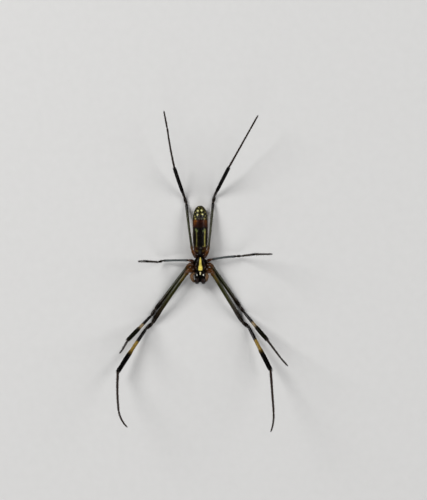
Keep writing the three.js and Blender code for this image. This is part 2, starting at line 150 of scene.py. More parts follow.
def new_object(name, points, quads, triangles, material, paint, uv=None):
    """A smooth mesh object from arrays. Each point has a colour and, on hair, a place in the UV map."""
    mesh = bpy.data.meshes.new(name)
    faces = [list(face) for face in np.asarray(quads, int).reshape(-1, 4)]
    faces += [list(face) for face in np.asarray(triangles, int).reshape(-1, 3)]
    mesh.from_pydata(place(points).tolist(), [], faces)
    mesh.validate()
    layer = mesh.color_attributes.new("Paint", "FLOAT_COLOR", "POINT")
    rgba = np.ones((len(points), 4), np.float32)
    rgba[:, :3] = np.clip(paint, 0, 1)
    layer.data.foreach_set("color", rgba.ravel())
    if uv is not None:
        loops = np.zeros(len(mesh.loops), np.int32)
        mesh.loops.foreach_get("vertex_index", loops)
        mesh.uv_layers.new(name="OFBake").data.foreach_set("uv", np.asarray(uv, np.float32)[loops].ravel())
    mesh.polygons.foreach_set("use_smooth", np.ones(len(mesh.polygons), bool))
    mesh.update()
    mesh.materials.append(material)
    made = add_object(name, mesh)
    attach(made, "root")
    return made


def grid_faces(rings, sides):
    """Quads between closed rings of points, with the two end fans."""
    start = np.arange(rings - 1)[:, None] * sides
    side = np.arange(sides)
    after = (side + 1) % sides
    corners = [start + side, start + after, start + sides + after, start + sides + side]
    far = (rings - 1) * sides
    near_fan = np.stack([np.full(sides, rings * sides), after, side], -1)
    far_fan = np.stack([np.full(sides, rings * sides + 1), far + side, far + after], -1)
    return np.stack(corners, -1).reshape(-1, 4), np.concatenate([near_fan, far_fan])


class Surface:
    """A closed skin made of rings of points, with its colours and the way its hair lies."""

    def __init__(self, rings, paint):
        self.points = np.asarray(rings, float)
        count, sides, _ = self.points.shape
        self.paint = np.broadcast_to(paint, self.points.shape).copy()
        around = np.roll(self.points, -1, 1) - np.roll(self.points, 1, 1)
        lie = np.gradient(self.points, axis=0)
        self.normals = unit(np.cross(around, lie))
        centre = self.points.mean(1, keepdims=True)
        if np.mean(np.sum(self.normals * (self.points - centre), -1)) < 0:
            self.normals = -self.normals
        self.lie = unit(lie)
        u = np.linspace(0.02, 0.98, count)[:, None]
        v = np.linspace(0.02, 0.98, sides)[None, :]
        self.uv = np.stack(np.broadcast_arrays(u, v), -1)

    def closed(self):
        """Points, quads, end fans and colours of the closed skin, with its faces turned outwards."""
        count, sides, _ = self.points.shape
        points = np.concatenate([self.points.reshape(-1, 3), self.points[[0, -1]].mean(1)])
        paint = np.concatenate([self.paint.reshape(-1, 3), self.paint[[0, -1]].mean(1)])
        quads, fans = grid_faces(count, sides)
        if signed_volume(points, quads, fans) < 0:
            quads = quads[:, ::-1]
            fans = fans[:, ::-1]
        return points, quads, fans, paint

    def build(self, name, material):
        return joined(name, [self], material)

    def sample(self, count, weight=1.0):
        """Random places on the skin: point, normal, lie of the hair, colour and UV place."""
        rings, sides, _ = self.points.shape
        cell = np.linalg.norm(np.roll(self.points, -1, 1) - self.points, axis=-1)
        cell = cell * np.linalg.norm(np.gradient(self.points, axis=0), axis=-1)
        cell = cell * weight
        pick = RNG.choice(rings * sides, count, p=cell.ravel() / cell.sum())
        ring, side = pick // sides, pick % sides
        ring_next = np.minimum(ring + 1, rings - 1)
        side_next = (side + 1) % sides
        a, b = RNG.random(count)[:, None], RNG.random(count)[:, None]

        def blend(values):
            near = values[ring, side] * (1 - b) + values[ring, side_next] * b
            far = values[ring_next, side] * (1 - b) + values[ring_next, side_next] * b
            return near * (1 - a) + far * a

        uv = self.uv[ring, side] + np.concatenate([a / rings, b / sides], 1) * 0.9
        return blend(self.points), unit(blend(self.normals)), unit(blend(self.lie)), blend(self.paint), uv


def joined(name, surfaces, material):
    """One or more closed surfaces in one object."""
    parts = []
    first = 0
    for surface in surfaces:
        points, quads, fans, paint = surface.closed()
        parts.append((points, quads + first, fans + first, paint))
        first += len(points)
    points, quads, fans, paint = (np.concatenate(part) for part in zip(*parts))
    return new_object(name, points, quads, fans, material, paint)


def circle(centre, side, top, radius, sides):
    """A round ring of points in the plane of side and top, or one for each of several centres."""
    angles = np.linspace(0, 2 * math.pi, sides, endpoint=False)[:, None]
    centre, side, top = (np.asarray(part)[..., None, :] for part in (centre, side, top))
    return centre + np.asarray(radius)[..., None, None] * (np.cos(angles) * side + np.sin(angles) * top)


def signed_volume(points, quads, triangles):
    faces = np.concatenate([quads[:, [0, 1, 2]], quads[:, [0, 2, 3]], triangles])
    a, b, c = (points[faces[:, i]] for i in range(3))
    return np.sum(a * np.cross(b, c)) / 6


# A bristle's two rings of points: the place of each along it, and its width there
BRISTLE_RINGS = ((-0.02, 1.0), (0.5, 0.75))
BRISTLE_POINTS = 7
BRISTLE_QUADS = ((0, 1, 4, 3), (1, 2, 5, 4), (2, 0, 3, 5))
BRISTLE_TRIANGLES = ((3, 4, 6), (4, 5, 6), (5, 3, 6), (0, 2, 1))
# Its patch in the UV map: the size, and the place of each of its points in it
UV_PATCH = 0.003
UV_POINTS = np.array([(0, 0), (1, 0), (0.5, 1), (0, 0.5), (1, 0.5), (0.5, 0), (0.5, 1)])
# How many hairs grow on each leg, where a short leg has half and no brushes, and on each other form
LEG_HAIRS = dict(short=2400, long=70, tibia_brush=1500, femur_brush=420)
HAIRS = dict(abdomen=6500, carapace=9000, face=700, sternum=900, endite=220, jaw=260, palp=420, spinneret=60)


def hairs(name, roots, material, length, radius, lift, curl=0.3, stray=0.25, sink=0.06, tint=1.0):
    """Solid tapered bristles. lift is how far they stand off the skin: 0 lies flat, 1 stands up."""
    points, normals, lie, paint, uv = (np.concatenate(parts) for parts in zip(*roots))
    count = len(points)
    length = length * RNG.uniform(0.7, 1.15, count)
    lift = lift * RNG.uniform(0.7, 1.3, count)
    sideways = unit(np.cross(normals, lie))
    direction = unit(lie + normals * lift[:, None] + sideways * RNG.normal(0, stray, count)[:, None])
    across = unit(np.cross(direction, normals))
    over = np.cross(across, direction)
    rings = []
    for along, width in BRISTLE_RINGS:
        bend = normals * (-curl * along**2 * length * lift)[:, None]
        depth = sink if along < 0 else 0
        centre = points + direction * (along * length)[:, None] + bend - normals * depth
        rings.append(circle(centre, across, over, radius * width, sides=3))
    tip = points + direction * length[:, None] + normals * (-curl * length * lift)[:, None]
    corners = np.concatenate([*rings, tip[:, None]], 1).reshape(-1, 3)
    corners[:, 2] = np.maximum(corners[:, 2], FLOOR_CLEAR)
    base = np.arange(count)[:, None] * BRISTLE_POINTS
    quads = np.concatenate([base + face for face in BRISTLE_QUADS])
    triangles = np.concatenate([base + face for face in BRISTLE_TRIANGLES])
    colour = np.repeat(paint * tint, BRISTLE_POINTS, 0)
    patch = (UV_POINTS - 0.5) * UV_PATCH
    uv_places = np.clip((uv[:, None] + patch).reshape(-1, 2), 0.0, 1.0)
    return new_object(name, corners, quads, triangles, material, colour, uv_places)


# Materials

# The part of a noise's range that most of it lies in
NOISE_RANGE = {"From Min": 0.3, "From Max": 0.7}


def set_sockets(node, values):
    """Gives the sockets of a shader node their values, by name."""
    for socket, value in values.items():
        node.inputs[socket].default_value = value
    return node


def add_node(material, kind, values):
    return set_sockets(material.node_tree.nodes.new("ShaderNode" + kind), values)


def link(source, output, target, socket):
    """Joins an output of one shader node to a socket of another."""
    source.id_data.links.new(source.outputs[output], target.inputs[socket])


def painted(name, roughness, bump_scale, bump, coat=0.0, specks=0.25, glow=0.0, sheen=0.0, shine=0.3):
    """Skin, horn or hair: its painted colours made uneven, with a grain in its gloss and relief."""
    material = bpy.data.materials.new(name)
    material.use_nodes = True
    look = {
        "Specular IOR Level": shine,
        "Coat Weight": coat,
        "Coat Roughness": 0.18,
        "Subsurface Weight": glow,
        "Subsurface Radius": (0.0006, 0.0003, 0.00015),
        "Subsurface Scale": 1.0,
        "Sheen Weight": sheen,
    }
    shader = set_sockets(material.node_tree.nodes["Principled BSDF"], look)
    paint = add_node(material, "VertexColor", {})
    paint.layer_name = "Paint"
    own_place = add_node(material, "TexCoord", {})
    fine = add_node(material, "TexNoise", {"Scale": bump_scale, "Detail": 6.0})
    link(own_place, "Object", fine, "Vector")
    blot = add_node(material, "TexNoise", {"Scale": bump_scale * 0.18, "Detail": 3.0})
    link(own_place, "Object", blot, "Vector")
    level = add_node(material, "MapRange", {**NOISE_RANGE, "To Min": 1 - specks, "To Max": 1 + specks})
    link(blot, "Fac", level, "Value")
    tone = add_node(material, "Mix", {})
    tone.data_type = "RGBA"
    tone.blend_type = "MULTIPLY"
    tone.inputs["Factor"].default_value = 1.0
    link(paint, "Color", tone, "A")
    link(level, "Result", tone, "B")
    link(tone, "Result", shader, "Base Color")
    rough_range = {"To Min": roughness * 0.8, "To Max": roughness * 1.25}
    gloss = add_node(material, "MapRange", {**NOISE_RANGE, **rough_range})
    link(fine, "Fac", gloss, "Value")
    link(gloss, "Result", shader, "Roughness")
    relief = add_node(material, "Bump", {"Strength": bump, "Distance": 0.00006})
    link(fine, "Fac", relief, "Height")
    link(relief, "Normal", shader, "Normal")
    return material


CUTICLE = painted("leg_cuticle", roughness=0.19, bump_scale=9000, bump=0.25, shine=0.17)
SOFT_SKIN = painted("abdomen_skin", roughness=0.3, bump_scale=6000, bump=0.3, specks=0.35, shine=0.08)
SHELL = painted("carapace_shell", roughness=0.24, bump_scale=5200, bump=0.4, shine=0.12)
HORN = painted("jaw_horn", roughness=0.15, bump_scale=5200, bump=0.2, shine=0.14)
AMBER = painted("palp_amber", roughness=0.34, bump_scale=9000, bump=0.3, coat=0.15, glow=0.25)
BRISTLE = painted("bristle", roughness=0.4, bump_scale=20000, bump=0.1, specks=0.3, shine=0.05)
SILVER_HAIR = painted("silver_hair", roughness=0.42, bump_scale=20000, bump=0.1, sheen=0.4)
EYE_GLASS = painted("eye_lens", roughness=0.06, bump_scale=3000, bump=0.0, coat=1.0, specks=0.1)

# Colours, as a screen shows them
BLACK = linear(0.036, 0.026, 0.018)
BROWN_BLACK = linear(0.12, 0.075, 0.035)
OLIVE = linear(0.12, 0.122, 0.03)
# Painted highlight: the paler olive on the lit tops of the femora
OLIVE_HIGHLIGHT = linear(0.19, 0.19, 0.07)
RUST = linear(0.29, 0.16, 0.03)
DARK_HIP = linear(0.11, 0.055, 0.02)
RUST_DARK = linear(0.2, 0.09, 0.04)
YELLOW = linear(0.5, 0.4, 0.16)
SPOT_TAN = linear(0.58, 0.54, 0.32)
TAN = linear(0.48, 0.41, 0.29)
FOOT_BROWN = linear(0.14, 0.1, 0.08)
# Painted highlight: the paler brown on the lit tops of the feet
FOOT_HIGHLIGHT = linear(0.24, 0.2, 0.18)
GREY_BLUE = linear(0.27, 0.285, 0.285)
GREY_BROWN = linear(0.22, 0.2, 0.18)
JOINT_PALE = linear(0.4, 0.34, 0.25)
BAR_YELLOW = linear(0.6, 0.57, 0.3)
SPOT_YELLOW = linear(0.84, 0.82, 0.56)
STERNUM_YELLOW = linear(0.86, 0.79, 0.4)
CREAM = linear(0.78, 0.74, 0.56)
# Painted glint colour, for the belly and the endites
GLINT_WHITE = linear(0.88, 0.88, 0.84)
SILVER = linear(0.74, 0.73, 0.7)
SPINNERET_GREY = linear(0.3, 0.27, 0.23)

# Legs: each with its joints and, for some segments, a bow to one side, as in the solids
SEGMENTS = ("coxa", "femur", "patella", "tibia", "metatarsus", "tarsus")
GAP = 0.3
LEGS = {
    "leg_1_left": dict(
        build="front",
        joints=[
            (-1.7, -4.05, 3.02), (-3.86, -4.8, 3.25), (-15.25, -21.35, 0.5), (-17.2, -23.15, 0.64),
            (-26.08, -36.72, 4.6), (-25.72, -48.9, 17.8), (-23.05, -53.95, 19.8),
        ],
        bows=dict(
            femur=(-0.2, 0.1, 0.85), tibia=(-0.08, 0.04, 0),
            metatarsus=(-0.28, 0, -0.6), tarsus=(-0.4, -0.2, 0.3),
        ),
    ),
    "leg_1_right": dict(
        build="front",
        joints=[
            (1.7, -4.05, 3.02), (3.66, -5.05, 3.15), (13.45, -20.95, 0.5), (15.45, -22.65, 0.64),
            (22.3, -36.1, 5.6), (23.22, -49.6, 18), (22.35, -55.4, 19.9),
        ],
        bows=dict(femur=(0, 0, 0.95), metatarsus=(0.02, 0, -0.6), tarsus=(0.28, 0, 0.3)),
    ),
    "leg_2_left": dict(
        build="second",
        joints=[
            (-1.95, -2.72, 2.95), (-3.48, -2.93, 2.32), (-14.25, -17, 0.48), (-15.58, -18.95, 0.8),
            (-22.84, -26.56, 8), (-24.52, -29.55, 18.6), (-25.3, -30.6, 22),
        ],
        bows=dict(metatarsus=(-0.2, -0.3, 0)),
    ),
    "leg_2_right": dict(
        build="second",
        joints=[
            (1.95, -2.72, 2.95), (3.38, -2.95, 2.42), (12.72, -16.2, 0.48), (13.92, -17.85, 0.8),
            (21.13, -26.46, 7), (25.36, -32.1, 16.3), (27.57, -34.65, 18.2),
        ],
        bows=dict(femur=(0, 0, -0.2), tibia=(-0.03, -0.03, 0), metatarsus=(0, 0, -0.3)),
    ),
    "leg_3_left": dict(
        build="third",
        joints=[
            (-1.85, -1.68, 2.98), (-3.7, -1.38, 2.8), (-11.8, -1.5, 1.5), (-13.3, -1.9, 2),
            (-17.55, -1.65, 6.9), (-19.45, -1.7, 16.6),
        ],
        bows=dict(femur=(0, 0.06, 0.25)),
    ),
    "leg_3_right": dict(
        build="third",
        joints=[
            (1.85, -1.72, 2.98), (3.6, -1.1, 2.8), (11.5, -0.1, 1.5), (13, 0, 2), (17.45, 0.55, 6.9),
            (22.75, 0.6, 15.6),
        ],
        bows=dict(femur=(0, 0.15, 0.25)),
    ),
    "leg_4_left": dict(
        build="rear",
        joints=[
            (-1.25, -0.65, 3.12), (-2.54, 1.95, 3.95), (-4.45, 16.7, 0.4), (-5.02, 18.7, 0.6),
            (-8.2, 28, 6.2), (-10.45, 40.5, 10.8), (-11.45, 45.75, 11.9),
        ],
        bows=dict(femur=(-0.1, 0, 0.5), tibia=(-0.06, -0.02, 0), metatarsus=(-0.12, 0, -0.2)),
    ),
    "leg_4_right": dict(
        build="rear",
        joints=[
            (1.25, -0.65, 3.12), (2.54, 1.95, 3.95), (4.1, 17, 0.4), (4.55, 19.1, 0.6), (9.1, 28.1, 6),
            (15.86, 40.16, 10.6), (18.25, 44.4, 11.6),
        ],
        bows=dict(femur=(0.05, 0, 0.5), metatarsus=(0, 0, -0.2)),
    ),
}
# Radii along each segment: those of the solids, but for fuller coxae, fuller front legs below the femur
# and thinner tips
RADII = {
    "front": dict(
        coxa=(0.66, 0.92, 0.92),
        femur=(0.58, 0.66, 0.65, 0.64, 0.6),
        patella=(0.56, 0.62, 0.54),
        tibia=(0.5, 0.54, 0.55, 0.57, 0.55),
        metatarsus=(0.41, 0.38, 0.35, 0.33),
        tarsus=(0.31, 0.29, 0.22),
    ),
    "second": dict(
        coxa=(0.62, 0.84, 0.86),
        femur=(0.52, 0.6, 0.6, 0.58, 0.56),
        patella=(0.5, 0.55, 0.46),
        tibia=(0.4, 0.46, 0.49, 0.5, 0.48),
        metatarsus=(0.35, 0.31, 0.28),
        tarsus=(0.27, 0.26, 0.21),
    ),
    "third": dict(
        coxa=(0.44, 0.52, 0.46),
        femur=(0.32, 0.33, 0.34, 0.38),
        patella=(0.35, 0.39, 0.33),
        tibia=(0.3, 0.31, 0.34, 0.38),
        metatarsus=(0.37, 0.28, 0.26, 0.21),
    ),
    "rear": dict(
        coxa=(0.5, 0.6, 0.46),
        femur=(0.4, 0.37, 0.38, 0.42, 0.46),
        patella=(0.45, 0.52, 0.45),
        tibia=(0.4, 0.44, 0.46, 0.47, 0.45),
        metatarsus=(0.32, 0.28, 0.26, 0.26),
        tarsus=(0.26, 0.25, 0.21),
    ),
}
# Coxae have a round inner end, and femora swell where they leave them, out to the hip reach
COXA_ROUND = 0.5
HIP_SWELL = dict(front=0.24, second=0.22, third=0.06, rear=0.06)
HIP_REACH = 1.1
# How far from a joint a segment turns to face it, narrows, and tapers at the leg's tip
TURN_REACH = 1.6
END_REACH = 0.352
TIP_REACH = 0.3
# The width of the skin in a joint, as a share of that of the segment before it
JOINT_WIDTH = 0.86
LEG_SIDES = 20
RINGS_PER_MM = 6
TOE_CLAW = dict(length=0.42, radius=0.045, spread=0.11)


def bezier(start, bend, end, t):
    t = np.asarray(t)[:, None]
    point = (1 - t) ** 2 * start + 2 * t * (1 - t) * bend + t**2 * end
    tangent = 2 * (1 - t) * (bend - start) + 2 * t * (end - bend)
    return point, unit(tangent)


def leg_colour(build, segment, t, around):
    """The colours at one place along a segment. around is 0 where the skin faces the floor and 1 on top;
    femora, patellae and feet are painted lighter on top, as painted light.
    """
    if segment == "coxa":
        colour = mix(RUST_DARK if build == "third" else RUST, RUST_DARK, 0.15 * around)
        return mix(colour, DARK_HIP, 0.85 * smoothstep(0.8, 0.25, t))
    if segment == "femur":
        if build == "third":
            colour = mix(GREY_BLUE, DARK_HIP, smoothstep(0.12, 0.0, t))
            return mix(colour, BLACK, smoothstep(0.86, 0.97, t))
        # Painted light: the femur's middle is painted paler on top, where the light falls
        colour = mix(OLIVE, OLIVE_HIGHLIGHT, 0.5 * band(0.25, 0.75, 0.2, t) * around)
        if build == "front":
            # Painted highlight: a golden gleam on top of the front femora near their base
            gold_highlight = smoothstep(0.75, 1.0, around) * band(0.05, 0.2, 0.05, t)
            colour = mix(colour, YELLOW, 0.26 * gold_highlight)
        colour = mix(colour, RUST, 0.8 * smoothstep(0.11, 0.0, t))
        if build == "rear":
            return mix(colour, BLACK, smoothstep(0.8, 0.91, t))
        colour = mix(colour, BROWN_BLACK, 0.85 * smoothstep(0.45, 0.85, t))
        return mix(colour, BLACK, 0.55 * smoothstep(0.82, 0.92, t))
    if segment == "patella":
        # Painted light: the patella is painted browner on top, where the light falls
        return mix(BLACK, BROWN_BLACK, 0.4 * around)
    if segment == "tibia":
        if build == "third":
            return mix(GREY_BROWN, BLACK, smoothstep(0.72, 0.92, t))
        if build == "front":
            return mix(BLACK, YELLOW, band(0.3, 0.55, 0.025, t))
        if build == "rear":
            return mix(BLACK, BROWN_BLACK, 0.5 * smoothstep(0.3, 0.0, t))
        colour = mix(BLACK, OLIVE, 0.6 * smoothstep(0.5, 0.6, t))
        return mix(colour, TAN, band(0.37, 0.52, 0.03, t))
    if segment == "metatarsus":
        # Painted light: the foot is painted paler on top, where the light falls
        colour = mix(GREY_BROWN if build == "third" else FOOT_BROWN, FOOT_HIGHLIGHT, 0.2 * around)
        return mix(colour, BROWN_BLACK, smoothstep(0.08, 0.0, t))
    return mix(FOOT_BROWN, BROWN_BLACK, smoothstep(0.2, 1.0, t))


def leg_radius(build, segment, t, length, at_tip):
    """The radius along one segment, with its narrowed ends, the hip's swell and the leg's round ends."""
    radius = evenly(RADII[build][segment], t)[:, 0]
    rounding = 1 - 0.2 * (1 - smoothstep(0, END_REACH / length, 1 - t))
    if segment == "coxa":
        rounding *= 1 - 0.14 * band(0.62, 0.68, 0.05, t)
        rounding *= np.sqrt(np.clip(1 - (1 - t * length / COXA_ROUND).clip(0, 1) ** 2, 0.04, 1))
    else:
        rounding -= 0.2 * (1 - smoothstep(0, END_REACH / length, t))
    if segment == "femur":
        radius = radius + HIP_SWELL[build] * np.exp(-((t * length / HIP_REACH) ** 2))
    if at_tip:
        rounding *= np.sqrt(1 - smoothstep(1 - TIP_REACH / length, 1, t) * 0.8)
    return radius * rounding


def leg_surface(leg):
    """The whole leg as one skin. Returns it with the segment and the place along it of each ring."""
    build = leg["build"]
    points = [np.array(joint, float) for joint in leg["joints"]]
    chords = [unit(b - a) for a, b in zip(points, points[1:])]
    last = len(chords) - 1
    normals = [unit(chords[max(0, i - 1)] + chords[min(last, i)]) for i in range(len(points))]
    rings, paint, labels = [], [], []
    side = None
    for i in range(len(chords)):
        segment = SEGMENTS[i]
        start = points[i] + (0 if i == 0 else GAP / 2) * normals[i]
        end = points[i + 1] - (0 if i == last else GAP / 2) * normals[i + 1]
        bow = np.array(leg["bows"].get(segment, (0, 0, 0)), float)
        length = np.linalg.norm(end - start)
        t = np.linspace(0, 1, max(8, int(length * RINGS_PER_MM)))
        centre, facing = bezier(start, (start + end) / 2 + 2 * bow, end, t)
        near = np.clip(1 - t * length / TURN_REACH, 0, 1)[:, None]
        far = np.clip(1 - (1 - t) * length / TURN_REACH, 0, 1)[:, None]
        facing = unit(facing * (1 - near) + normals[i] * near)
        facing = unit(facing * (1 - far) + normals[i + 1] * far)
        radius = leg_radius(build, segment, t, length, i == last)
        for k, along in enumerate(t):
            if side is None:
                side = unit(np.cross(facing[k], (0, 0, 1.0)))
            side = unit(side - facing[k] * (side @ facing[k]))
            top = np.cross(side, facing[k])
            rings.append(circle(centre[k], side, top, radius[k], LEG_SIDES))
            # How far the skin faces up; leg_colour paints lighter tops from it, as painted light
            facing_up = unit(rings[-1] - centre[k])[:, 2] * 0.5 + 0.5
            paint.append(leg_colour(build, segment, np.full(LEG_SIDES, along), facing_up))
            labels.append((i, along))
        if i != last:
            rings.append(circle(points[i + 1], side, top, radius[-1] * JOINT_WIDTH, LEG_SIDES))
            joint = JOINT_PALE if segment in ("femur", "coxa") else BROWN_BLACK
            paint.append(mix(paint[-1], joint, np.full(LEG_SIDES, 0.35)))
            labels.append((i, 1.0))
    rings = np.array(rings)
    rings[..., 2] = np.maximum(rings[..., 2], FLOOR_CLEAR)
    return Surface(rings, np.array(paint)), np.array(labels)


def claw_rings(root, direction, out, length, radius):
    """One small hooked claw as rings of points."""
    t = np.linspace(0, 1, 7)
    tip = root + direction * length * 0.7 - out * length * 0.5
    centre, facing = bezier(root, root + direction * length * 0.6, tip, t)
    side = unit(np.cross(facing, out))
    return circle(centre, side, np.cross(side, facing), radius * (1 - 0.85 * t), sides=6)


# Where along its segment each brush begins
BRUSH_START = dict(front=0.52, second=0.52, rear=0.16)
FEMUR_BRUSH_START = dict(front=0.72, second=0.78)


def build_legs():
    short_hair, brush_hair, rear_hair, femur_hair, long_hair = [], [], [], [], []
    for name, leg in LEGS.items():
        build = leg["build"]
        surface, labels = leg_surface(leg)
        skin = surface.build(name + "_skin", CUTICLE)
        nodes = [f"{name}_{segment}" for segment in SEGMENTS[: len(leg["joints"]) - 1]]
        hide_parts(*nodes)
        t = labels[:, 1]
        on = {segment: labels[:, 0] == i for i, segment in enumerate(SEGMENTS)}
        on_foot = on["metatarsus"] | on["tarsus"]
        thin = 0.5 if build == "third" else 1.0
        weight = 0.25 + 0.5 * on["patella"] + 1.1 * on["tibia"] + 1.6 * on_foot
        weight = np.where(on["coxa"], 0.15, weight)
        short_hair.append(surface.sample(int(LEG_HAIRS["short"] * thin), weight[:, None]))
        long_hair.append(surface.sample(int(LEG_HAIRS["long"] * thin), ~on["coxa"][:, None]))
        if build != "third":
            start = BRUSH_START[build]
            tuft = on["tibia"] * smoothstep(start - 0.06, start + 0.03, t)
            tuft = tuft * (1 - 0.75 * smoothstep(0.9, 1, t))
            brushes = rear_hair if build == "rear" else brush_hair
            brushes.append(surface.sample(LEG_HAIRS["tibia_brush"], tuft[:, None]))
        if build in FEMUR_BRUSH_START:
            start = FEMUR_BRUSH_START[build]
            tuft = on["femur"] * smoothstep(start, start + 0.1, t) * (1 - smoothstep(0.88, 0.97, t))
            femur_hair.append(surface.sample(LEG_HAIRS["femur_brush"], tuft[:, None]))
        build_claws(name, leg)
    made = hairs("leg_short_hair", short_hair, BRISTLE, 0.42, 0.013, 0.55, tint=0.8)
    made = hairs("leg_brushes", brush_hair, BRISTLE, 1.25, 0.024, 0.24, curl=0.35, stray=0.14, tint=0.75)
    made = hairs("leg_rear_brushes", rear_hair, BRISTLE, 0.9, 0.022, 0.22, curl=0.3, stray=0.12, tint=0.75)
    made = hairs("leg_femur_brushes", femur_hair, BRISTLE, 0.9, 0.022, 0.12, curl=0.35, stray=0.12, tint=0.8)
    made = hairs("leg_long_bristles", long_hair, BRISTLE, 1.0, 0.018, 0.8, tint=0.6)


def build_claws(name, leg):
    before, toe = (np.array(joint, float) for joint in leg["joints"][-2:])
    direction = unit(toe - before)
    out = unit(np.array([0, 0, 1.0]) - direction * direction[2])
    side = np.cross(direction, out)
    claws = []
    for shift in (-1, 0, 1):
        root = toe - direction * 0.06 + side * shift * TOE_CLAW["spread"]
        length = TOE_CLAW["length"] * (0.7 if shift == 0 else 1)
        rings = claw_rings(root, unit(direction + side * shift * 0.25), out, length, TOE_CLAW["radius"])
        claws.append(Surface(rings, BLACK))
    made = joined(name + "_claws", claws, HORN)


build_legs()

# Body forms: [Y, half width, depth below the level, height above it], near the solids', with rounder ends
ABDOMEN_LEVEL = 2.38
ABDOMEN_STATIONS = [
    (0.08, 0.3, 0.32, 0.3),
    (0.13, 0.8, 0.85, 0.8),
    (0.45, 1.25, 1.3, 1.12),
    (1.0, 1.6, 1.75, 1.48),
    (1.9, 1.98, 2.1, 1.86),
    (3.4, 2.2, 2.32, 2.12),
    (5.1, 2.34, 2.36, 2.22),
    (8.2, 2.36, 2.36, 2.24),
    (11.3, 2.38, 2.3, 2.2),
    (13, 2.22, 2.08, 1.95),
    (14.6, 1.75, 1.64, 1.45),
    (15.5, 1.1, 1.0, 0.85),
    (15.9, 0.42, 0.42, 0.34),
    (15.96, 0.1, 0.1, 0.1),
]
# Half the abdomen's width, for the places of its markings
ABDOMEN_HALF_WIDTH = 2.4
CARAPACE_LEVEL = 2.25
CARAPACE_STATIONS = [
    (-0.18, 0.4, 0.3, 0.06),
    (-0.24, 0.9, 0.7, 0.1),
    (-0.6, 1.3, 0.92, 0.12),
    (-1.0, 1.62, 1.1, 0.14),
    (-2.0, 2.3, 1.5, 0.16),
    (-3.3, 2.62, 1.72, 0.16),
    (-4.6, 2.4, 1.84, 0.16),
    (-5.6, 1.95, 2.05, 0.16),
    (-6.5, 1.74, 2.22, 0.16),
    (-7.2, 1.66, 2.24, 0.16),
    (-7.9, 1.42, 2.0, 0.14),
    (-8.2, 0.95, 1.5, 0.1),
    (-8.28, 0.2, 0.5, 0.06),
]
# Half the width of the sternum's yellow stripe: the places along it and the half widths there
STERNUM_STRIPE = (
    (-4.72, -4.62, -4.45, -3.45, -3.2, -3.0, -2.7, -2.2, -1.6, -1.0, -0.5),
    (0.2, 0.5, 0.58, 0.58, 0.54, 0.4, 0.36, 0.37, 0.31, 0.24, 0.1),
)
STERNUM_LEVEL = 3.05
STERNUM_STATIONS = [
    (-0.42, 0.08, 0.1, 0.1),
    (-0.5, 0.3, 0.2, 0.22),
    (-1.3, 1.0, 0.34, 0.42),
    (-2.6, 1.62, 0.36, 0.5),
    (-3.7, 1.85, 0.36, 0.5),
    (-4.3, 1.6, 0.34, 0.44),
    (-4.65, 1.05, 0.22, 0.24),
    (-4.72, 0.3, 0.1, 0.1),
]


def body_rings(stations, x, level, rings, sides):
    """A body form lying along Y as rings of points, from its stations."""
    ordered = np.array(sorted(stations))
    steps = 0.5 - 0.5 * np.cos(np.linspace(0, math.pi, rings))
    y = ordered[0, 0] + (ordered[-1, 0] - ordered[0, 0]) * (0.35 * steps + 0.65 * np.linspace(0, 1, rings))
    half_width, below, above = through(ordered[:, 0], ordered[:, 1:], y).T
    angles = np.linspace(0, 2 * math.pi, sides, endpoint=False)
    up = np.sin(angles)
    tall = np.where(up > 0, above[:, None], below[:, None])
    places = [x + np.cos(angles) * half_width[:, None], y[:, None], level + up * tall]
    return np.stack(np.broadcast_arrays(*places), -1)


# Pale spots on the tail, each with its X, Y and radius
YELLOW_SPOTS = ((-0.76, 14.36, 0.3), (0.45, 14.46, 0.3), (-0.83, 13.02, 0.29), (0.67, 13.15, 0.31))
TAN_SPOTS = (
    (-1.52, 11.82, 0.24), (1.4, 11.86, 0.25), (-0.56, 15.4, 0.14), (0.6, 15.25, 0.14),
    (-1.8, 12.6, 0.16), (1.66, 12.7, 0.18), (-1.6, 13.8, 0.12), (1.55, 13.9, 0.15),
)
# The places along the back of its rows of pale spots
BACK_SPOT_ROWS = (3.3, 4.9, 6.9, 8.5, 10.2, 12.0, 13.4)


def outwards(rings, level):
    """The way out from the line along the middle of a body form."""
    return unit(rings * (1, 0, 1) - (0, 0, level))


